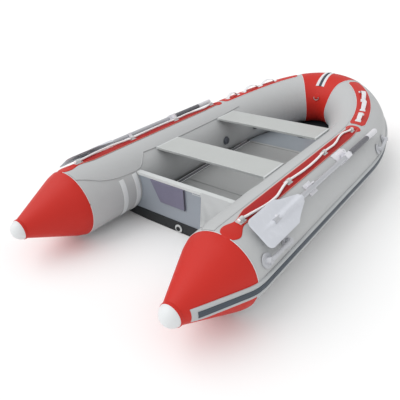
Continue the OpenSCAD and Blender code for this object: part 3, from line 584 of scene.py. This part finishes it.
loop_web = webbing("loop_webbing", web_white)
loop_spans = ((16.5, 22.5), (28.5, 37.5), (40.5, 49.5))
for which in ("starboard", "port"):
    port = which == "port"
    for number, (start, end) in enumerate(loop_spans):
        f = np.linspace(0, 1, 33)
        t = np.radians(start - 1.2 + (end - start + 2.4) * f)
        inside = np.clip((np.degrees(t) - start) / (end - start), 0, 1)
        rise = 0.0034 + 0.0310 * np.sin(np.pi * inside) ** 0.6
        v = np.array([-1, -0.96, -0.5, 0, 0.5, 0.96, 1])
        thick = np.array([0.0008, 0.0026, 0.003, 0.003, 0.003, 0.0026, 0.0008])
        half = np.degrees(0.014 / tube_r)
        rings = np.concatenate([lay(t, 84 + half * v, rise[:, None] + thick),
                                lay(t, 84 + half * v[::-1], rise[:, None])], 1)
        loop = shell("grip_loop_%d_%s" % (number + 1, which), rings, port)
        wear(loop, loop_web)
        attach(loop, "boat")
        if port and number == 0:
            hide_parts("grip_loops")
        for foot, at in enumerate((start - 0.7, end + 0.7)):
            foot_t = np.radians(np.linspace(at - 0.9, at + 0.9, 5))
            pad = band("loop_foot_%d_%s_%d" % (number + 1, which, foot + 1), foot_t, 84 - 5.4, 84 + 5.4,
                       0.0026, 0.0028, 0.003, 9, port)
            wear(pad, loop_web)
            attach(pad, "boat")
for number, (start, end, colour) in enumerate(((-0.028, -0.0085, web_white), (-0.0082, 0.0102, stripe_dark),
                                               (0.0105, 0.030, web_white))):
    strip_web = webbing("bow_strap_%d_webbing" % (number + 1), colour)
    theta = np.linspace(70, 139, 44)
    # Across the strap x = cos(t) * (0.55 + 1.887 r cos(theta)) near the stem, so t follows from x.
    across = np.linspace(start, end, 7)[:, None]
    t = np.arccos(across / (half_gap + 1.887 * (tube_r + 0.003) * np.cos(np.radians(theta))))
    lift = 0.003 + np.array([0.0, 0.003, 0.0035, 0.0035, 0.0035, 0.003, 0.0])[:, None]
    rings = np.concatenate([lay_each(t, theta, lift), lay_each(t, theta, 0.0028)[:, ::-1]], 1)
    strap = shell("bow_strap_%d" % (number + 1), rings)
    wear(strap, strip_web)
    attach(strap, "boat")
    if number == 0:
        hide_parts("bow_strap")

# --- Tow ring patch --------------------------------------------------------------------------
# A round red patch, glued to the bow patch, backs the block that holds the tow ring.
f = np.linspace(-1, 1, 25)
t = np.pi / 2 + 0.115 * f
half = np.degrees(0.036 * np.sqrt(np.maximum(0.0004, 1 - f ** 2)) / tube_r)
ring_patch = band("tow_ring_patch", t, 166 - half, 166 + half, 0.0029, 0.0022, 0.006, 17)
wear(ring_patch, red_fabric)
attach(ring_patch, "boat")

# --- Tapes that hold the transom ----------------------------------------------------------
# Two pale fabric tapes are glued round the inner side of each tube where the transom stands.
for which in ("starboard", "port"):
    for number, start in enumerate((0.625, 0.733)):
        y = np.array([start, start + 0.002, start + 0.018, start + 0.034, start + 0.036])
        theta = np.linspace(151, 235, 50)
        h = np.array([0.0, 0.002, 0.0024, 0.002, 0.0])[:, None]
        rings = np.concatenate([lay(y - bow_y, theta, 0.0008 + h), lay(y - bow_y, theta[::-1], 0.0005)], 1)
        tape = shell("transom_tape_%s_%d" % (which, number + 1), rings, which == "port")
        wear(tape, cap_finish)
        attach(tape, "boat")
        if which == "port" and number == 0:
            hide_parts("transom_holders")


# --- Hull bottom and keel ----------------------------------------------------------------
# Heavy slate-grey fabric closes the bottom from tube to tube; an inflated keel pushes it down.
slate = (0.045, 0.055, 0.065)
bottom_fabric = coated_fabric("bottom_fabric", slate, 0.0008)
keel_flat, hull_from = 2.150, 0.8125
bow_end_z = axis_z + bow_rise - tube_r


def keel_line(y):
    """Height of the bottom's middle: level to y = 2.15, then a parabola up to the stem."""
    return 0.0005 + (bow_end_z - 0.0005) * (np.maximum(y - keel_flat, 0) / (bow_y + bow_run - keel_flat)) ** 2


t = np.r_[hull_from - bow_y, np.linspace(hull_from - bow_y + 0.04, -0.03, 24),
          np.radians(np.r_[np.linspace(0, 84, 60), 85.5, 87, 88.5, 89.6])]
glue_line = np.interp(np.degrees(t), [10, 50, 84, 89.6], [-104, -98, -95, -92])
edge = lay(t, glue_line[:, None], 0.0012)[:, 0]
middle = np.minimum(edge[:, 2], keel_line(edge[:, 1] - shift) + 0.003)
shut = np.clip((edge[:, 1] - shift - 2.600) / 0.135, 0, 1)
middle = middle + (edge[:, 2] - middle) * shut * shut * (3 - 2 * shut)
u = np.linspace(-1, 1, 33)
skin_x = edge[:, :1] * u
skin_z = middle[:, None] + (edge[:, 2] - middle)[:, None] * np.abs(u) ** 1.6
pucker = 0.0007 * np.sin(u * 40) * np.exp(-((1 - np.abs(u)) / 0.08))
upper = np.stack([skin_x, np.broadcast_to(edge[:, 1:2], skin_x.shape), skin_z + pucker], -1)
bottom = shell("bottom_skin", np.concatenate([upper, (upper - [0, 0, 0.0028])[:, ::-1]], 1))
wear(bottom, bottom_fabric)
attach(bottom, "boat")
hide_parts("hull_bottom")
low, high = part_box("keel_tube")
keel_top = high[2]
y = np.linspace(low[1] + 0.001, high[1] - 0.001, 60)
full = (keel_top - keel_line(y - shift) - 0.004) / 2
end = np.minimum(np.clip((y - low[1]) / 0.06, 0, 1), np.clip((high[1] - y) / 0.08, 0, 1))
radius = full * (0.45 + 0.55 * np.sqrt(1 - (1 - end) ** 2)) - 0.0003
a = np.radians(np.arange(40) * 9)
rings = np.stack([radius[:, None] * np.cos(a), np.broadcast_to(y[:, None], (60, 40)),
                  (keel_top - full)[:, None] + radius[:, None] * np.sin(a)], -1)
keel = shell("keel_skin", rings)
wear(keel, bottom_fabric)
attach(keel, "boat")
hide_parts("keel_tube")

# --- Floor -----------------------------------------------------------------------------------
# Three ribbed aluminium boards slot into H sections and side channels. A smooth painted board
# closes the bow and has a round hole over the keel valve.
def eased(node, finish, width, body="boat"):
    """A copy of a part that keeps its plain shape, with its doubled corners merged and every edge
    sharper than 35 degrees rounded, as it comes from the mould, the saw or the file."""
    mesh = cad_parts[node].data.copy()
    tidy = bmesh.new()
    tidy.from_mesh(mesh)
    bmesh.ops.remove_doubles(tidy, verts=tidy.verts, dist=1e-6)
    bmesh.ops.dissolve_limit(tidy, angle_limit=math.radians(0.5), verts=tidy.verts, edges=tidy.edges)
    tidy.to_mesh(mesh)
    tidy.free()
    mesh.shade_smooth()
    mesh.set_sharp_from_angle(angle=math.radians(35))
    piece = bpy.data.objects.new(node + "_part", mesh)
    bpy.context.scene.collection.objects.link(piece)
    soften = piece.modifiers.new("eased", "BEVEL")
    soften.width, soften.segments, soften.limit_method = width, 2, "ANGLE"
    soften.angle_limit = math.radians(35)
    soften.harden_normals = False
    wear(piece, finish)
    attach(piece, body)
    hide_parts(node)


def extruded(name, colour, rough, along=(1, 0.04, 1), pitch=None, depth=0.0006):
    """Anodised aluminium: die lines along the extrusion, from noise drawn out that way, and ribs of
    the given pitch fore and aft."""
    made, shader, place = finish_of(name)
    lines = place.noise(0.0035, 4, along)
    height = lines * 0.15
    if pitch:
        height = height + place.apart()[1].wave(pitch) ** 0.7
    set_finish(shader, mix(lines * 0.5 + place.noise(0.2) * 0.5, shade(colour, 0.88), shade(colour, 1.08)),
               lines * 0.15 + rough, height, depth, metallic=0.55)
    return made


board_metal = extruded("ribbed_board", (0.50, 0.51, 0.51), 0.42, (0.04, 1, 1), 0.012, 0.0010)
channel_metal = extruded("channel_metal", (0.26, 0.265, 0.28), 0.4)
for node in ("floor_board_aft", "floor_board_middle", "floor_board_fore"):
    eased(node, board_metal, 0.001)
eased("floor_joiners", board_metal, 0.002)
bead_metal = extruded("channel_bead", (0.72, 0.73, 0.75), 0.3)
for which in ("starboard", "port"):
    eased("stringer_" + which, channel_metal, 0.001)
    low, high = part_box("stringer_" + which)
    for number, x in enumerate((low[0] + 0.003, high[0] - 0.003)):
        run = np.linspace(low[1] + 0.004, high[1] - 0.004, 40)
        path = np.stack([np.full(40, x), run, np.full(40, high[2] + 0.0004)], -1)
        bead = tube_of("channel_bead_%s_%d" % (which, number + 1), path, 0.0028, 8)
        wear(bead, bead_metal)
        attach(bead, "boat")
painted = (0.30, 0.335, 0.37)
paint, shader, place = finish_of("painted_board")
grain = place.noise(0.006, 4, (0.08, 1, 1))
set_finish(shader, mix(place.noise(0.2), shade(painted, 0.92), shade(painted, 1.08)),
           place.noise(0.03) * 0.15 + 0.4, grain, 0.0002, coat=0.2)
eased("floor_board_bow", paint, 0.0015)

# --- Transom -----------------------------------------------------------------------------------
# A 25 mm painted plywood board carries a pale extruded cap, a black rubber strip along its
# bottom, ribbed motor pads, and the drain with its bung.
def moulded(name, colour, rough=0.45, grain=0.0012):
    """Even colour with slow drift and scuffs; a fine moulded grain for height."""
    made, shader, place = finish_of(name)
    scuff = place.noise(0.03, 6).step(0.52, 0.75)
    set_finish(shader, mix(place.noise(0.12) * 0.7 + scuff * 0.3, shade(colour, 0.9), shade(colour, 1.08)),
               scuff * 0.15 + rough, place.noise(grain, 2), 0.0002)
    return made


board_grey, shader, place = finish_of("transom_paint")
board_tone = (0.265, 0.295, 0.335)
set_finish(shader, mix(place.noise(0.25), shade(board_tone, 0.94), shade(board_tone, 1.06)),
           place.noise(0.03) * 0.12 + 0.34, place.noise(0.02, 4, (0.1, 1, 1)), 0.0002, coat=0.25)
eased("transom_board", board_grey, 0.001)
pale_plastic = moulded("pale_plastic", (0.60, 0.62, 0.62))
eased("transom_cap", pale_plastic, 0.002)
# Black rubber for the strip and the bung; the same finish also paints shade along the motor pad's edge.
black_rubber_and_painted_shade = moulded("black_rubber_and_painted_shade", (0.008, 0.010, 0.012), 0.55, 0.002)
eased("transom_strip", black_rubber_and_painted_shade, 0.0015)
pad_tone = (0.155, 0.148, 0.215)
pad_finish, shader, place = finish_of("motor_pad")
x, y, z = place.apart()
dots = x.wave(0.008) * z.wave(0.008)
set_finish(shader, mix(place.noise(0.06), shade(pad_tone, 0.9), shade(pad_tone, 1.1)), 0.5, dots, 0.0008)
eased("motor_pads", pad_finish, 0.0025)
eased("drain_flange", pale_plastic, 0.0008)
eased("drain_plug", black_rubber_and_painted_shade, 0.001, "plug")
low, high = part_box("motor_pads")
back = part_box("transom_board")[0][1]


def plate(name, corners, y, thick, finish):
    """A thin plate standing on the board's after face: its corners (x, z) in order, drawn in by
    a millimetre at the face."""
    corners = np.asarray(corners, float)
    middle = corners.mean(0)
    drawn = middle + (corners - middle) * (1 - 0.001 / np.abs(corners - middle).max())
    rings = [np.stack([c[:, 0], np.full(len(c), at), c[:, 1]], -1) for c, at in
             ((corners, y), (corners, y - thick * 0.6), (drawn, y - thick))]
    piece = shell(name, np.array(rings))
    wear(piece, finish)
    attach(piece, "boat")
    return piece


# Painted shade: this thin black strip on the pad's after face, along its edge, stands in for the shade on the
# pad's edge.
plate("pad_edge_painted_shade", [(0.0175, 0.176), (0.0225, 0.176), (0.0225, 0.318), (0.0175, 0.318)],
      low[1] + 0.0006, 0.0016, black_rubber_and_painted_shade)
plate("blank_plate", [(0.077, 0.306), (0.142, 0.306), (0.142, 0.330), (0.077, 0.330)],
      back + 0.0004, 0.0022, pale_plastic)
plate("blank_plate_middle", [(0.081, 0.310), (0.138, 0.310), (0.138, 0.326), (0.081, 0.326)],
      back - 0.0010, 0.0016, board_grey)

# --- Web between the transom and the starboard tube -----------------------------------------
# A sheet of tube fabric is glued from the flap's edge to the board's top and closes the corner.
# It is drawn tight on the slant, so long shallow creases run across it.
y = np.linspace(0.044, 0.394, 60)
flap_edge = np.interp(y * 1000, flap_low[:, 0], flap_low[:, 1])
start = lay(np.array([seam_y + y[0] - bow_y]), np.array([flap_edge[0] + 5]), 0.0047)[0, 0]
finish_at = np.array([0.148, shift + 0.781 - 0.0055, 0.3385])
share = ((y - y[0]) / (y[-1] - y[0]))[:, None]
inner = lay(seam_y + y - bow_y, (flap_edge + 1.4)[:, None], 0.0019)[:, 0]
free = start + (finish_at - start) * share
v = np.linspace(0, 1, 40)[None, :, None]
web = free[:, None] + (inner - free)[:, None] * v
fade = np.sin(np.pi * v[..., 0]) * np.sin(np.pi * np.clip(share, 0, 1)) ** 0.5
crease = 0.0016 * np.sin(17 * share + v[..., 0] * 5.5) * fade
web = web + np.array([0, -0.45, 0.9]) * (crease[..., None] - 0.0006)
web_piece = shell("transom_web", np.concatenate([web, (web + [0, 0, 0.0022])[:, ::-1]], 1))
wear(web_piece, grey_fabric)
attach(web_piece, "boat")
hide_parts("transom_gusset")
# Painted highlight: the web's folded edge down the board is tube fabric given the paler piping finish, for
# the light band along the fold.
strip_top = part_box("transom_strip")[1][2]
edge_z = np.linspace(strip_top + 0.002, 0.334, 30)
wander = 0.0012 * np.sin(edge_z * 60)
profile = np.array([(0, 0), (0.002, -0.0022), (0.010, -0.0026), (0.0148, -0.0020), (0.016, 0)])
rings = np.stack([0.146 + wander[:, None] + profile[:, 0],
                  np.broadcast_to(back + 0.0002 + profile[:, 1], (30, 5)),
                  np.broadcast_to(edge_z[:, None], (30, 5))], -1)
fold = shell("transom_web_fold_highlight", rings)
wear(fold, piping_and_fold_highlight)
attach(fold, "boat")

# --- Benches -----------------------------------------------------------------------------------
# Each bench is a flat hollow aluminium extrusion with fine ribs along it, and a moulded end
# that slides on the tube's inner shoulder.
bench_metal = extruded("bench_metal", (0.58, 0.60, 0.59), 0.3, (0.04, 1, 1), 0.008, 0.0003)
for node, body in (("bench_aft", "aft_bench"), ("bench_fore", "fore_bench")):
    eased(node, bench_metal, 0.0012, body)
for node, body in (("bench_ends_aft", "aft_bench"), ("bench_ends_fore", "fore_bench")):
    eased(node, pale_plastic, 0.002, body)

# --- Line eyes, handles and valves -----------------------------------------------------------
# Small mouldings are glued on: eyes for the grab lines, carry handles on round feet, and the
# air valves with quarter-turn caps.
eased("line_eyes", pale_plastic, 0.0015)
handle_rubber = moulded("handle_rubber", (0.50, 0.51, 0.54), 0.5)
for node in ("carry_handles_aft", "carry_handles_bow"):
    eased(node, handle_rubber, 0.002)
dark_plastic = moulded("dark_plastic", (0.09, 0.10, 0.12), 0.4)
eased("valve_bodies", dark_plastic, 0.001)
for node in ("valve_cap_port", "valve_cap_starboard", "valve_cap_bow"):
    eased(node, dark_plastic, 0.001, node)
eased("keel_valve", dark_plastic, 0.001)
eased("bow_ring_base", red_fabric, 0.002)
steel = extruded("steel", (0.6, 0.6, 0.6), 0.25)


def finish_kept(node, finish):
    """Gives a part that stays as it came this finish, by its object's slots and not its mesh's."""
    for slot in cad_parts[node].material_slots:
        slot.link = "OBJECT"
        slot.material = finish


finish_kept("bow_ring", steel)

# --- Oars and rowlocks -------------------------------------------------------------------------
# Each oar is an anodised tube with a moulded blade, a dark sleeve and a pale knob. A collar
# clamps it to a pin on the moulded rowlock base, and a clip holds its blade end.
oar_from, blade_len, axis_off, oar_tilt = 0.482, 0.404, 0.240, 53.5
shaft_metal = extruded("shaft_metal", (0.50, 0.51, 0.54), 0.28, (1, 0.04, 1))
blade_plastic = moulded("blade_plastic", (0.62, 0.64, 0.69), 0.34, 0.002)
grip_plastic, shader, place = finish_of("grip_plastic")
along = place.apart()[1]
knob = along.step(shift + 1.821, shift + 1.824)
set_finish(shader, mix(knob, mix(place.noise(0.05), (0.115, 0.115, 0.13, 1), (0.15, 0.15, 0.17, 1)),
                       mix(place.noise(0.05), (0.60, 0.60, 0.63, 1), (0.72, 0.72, 0.75, 1))),
           place.noise(0.02) * 0.15 + 0.42, along.wave(0.006) * (1 - knob), 0.0006)
white_plastic = moulded("white_plastic", (0.72, 0.72, 0.76), 0.4)
for node in ("rowlock_bases", "oar_clips"):
    eased(node, white_plastic, 0.0012)
finish_kept("rowlock_pins", steel)
for which in ("port", "starboard"):
    body = "oar_" + which
    eased("collar_" + which, white_plastic, 0.002, body)
    finish_kept("oar_shaft_" + which, shaft_metal)
    # The blade's two edges follow its part's outline. Its ridge swells from nothing to the socket
    # for the tube: height over the flat = rise(f) * exp(-(|x| / spread(f))^2.6).
    f = np.linspace(0, 1, 60)
    widths = [0.058, 0.074, 0.0815, 0.0815, 0.062, 0.026, 0.024]
    outer = np.interp(f, [0, 0.02, 0.064, 0.653, 0.752, 0.99, 1], widths)
    inner = np.interp(f, [0, 0.02, 0.064, 0.579, 0.678, 0.99, 1], widths)
    v = np.sin(np.linspace(-1, 1, 61) * np.pi / 2)[None]
    x = np.where(v < 0, v * inner[:, None], v * outer[:, None])
    rise = np.interp(f, [0, 0.16, 0.34, 0.6, 1], [0, 0.0015, 0.0095, 0.0155, 0.0168])[:, None]
    spread = np.interp(f, [0, 0.2, 0.5, 1], [0.006, 0.008, 0.013, 0.017])[:, None]
    ridge = rise * np.exp(-(np.abs(x) / spread) ** 2.6)
    # Its half thickness is rounded off near both edges and both ends.
    rim = np.maximum(np.abs(v), 1 - np.minimum(f, 1 - f)[:, None] * 30)
    thin = 0.0028 * np.sqrt(np.clip(1 - rim ** 8, 0.02, 1))
    along_y = np.broadcast_to(shift + oar_from + blade_len * f[:, None], x.shape)
    face = np.stack([x, along_y, axis_off + thin + ridge], -1)
    rear = np.stack([x, along_y, axis_off - thin - ridge], -1)
    rings = np.concatenate([face, rear[:, ::-1]], 1)
    tilt = np.radians(90 - oar_tilt)
    rings = np.stack([half_gap + rings[..., 0] * np.cos(tilt) + rings[..., 2] * np.sin(tilt), rings[..., 1],
                      axis_z - rings[..., 0] * np.sin(tilt) + rings[..., 2] * np.cos(tilt)], -1)
    blade = shell("blade_" + which, rings, which == "port", sharp=60)
    wear(blade, blade_plastic)
    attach(blade, body)
    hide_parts("oar_blade_" + which)
    at = np.array([half_gap + axis_off * np.sin(tilt) - 0.012 * np.cos(tilt), shift + oar_from + 0.170,
                   axis_z + axis_off * np.cos(tilt) + 0.012 * np.sin(tilt)])
    normal = np.array([np.sin(tilt), 0, np.cos(tilt)])
    lift = np.array([0.002, 0.006, 0.0085, 0.0095])[:, None]
    disc = tube_of("blade_button_" + which, at + normal * lift, np.array([0.009, 0.0088, 0.0068, 0.003]), 20,
                   which == "port")
    wear(disc, white_plastic)
    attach(disc, body)
    eased("oar_grip_" + which, grip_plastic, 0.002, body)

# --- Floor and light ---------------------------------------------------------------------------
# A pale floor under the boat and wide soft lights, as in a studio.
floor_mesh = bpy.data.meshes.new("studio_floor")
half, floor_z = 30, -0.001
corners = [(-half, -half, floor_z), (half, -half, floor_z), (half, half, floor_z), (-half, half, floor_z)]
floor_mesh.from_pydata(corners, [], [(0, 1, 2, 3)])
floor = bpy.data.objects.new("studio_floor", floor_mesh)
bpy.context.scene.collection.objects.link(floor)
floor_finish, shader, place = finish_of("studio_floor")
set_finish(shader, (0.95, 0.95, 0.95, 1), 0.95)
wear(floor, floor_finish)
bpy.context.scene.view_settings.view_transform = "Standard"
world = bpy.data.worlds.new("studio")
bpy.context.scene.world = world
world.use_nodes = True
world.node_tree.nodes["Background"].inputs[0].default_value = (1, 1, 1, 1)
world.node_tree.nodes["Background"].inputs[1].default_value = 0.78
for name, place, power in (("key", (-2.4, -1.8, 3.8), 1.15), ("fill", (0.4, -4.0, 3.4), 0.35)):
    lamp = bpy.data.lights.new(name, "SUN")
    lamp.energy, lamp.angle = power, math.radians(60)
    light = bpy.data.objects.new(name, lamp)
    light.location = place
    light.rotation_euler = (Vector((0, 0, 0.2)) - Vector(place)).to_track_quat("-Z", "Y").to_euler()
    bpy.context.scene.collection.objects.link(light)
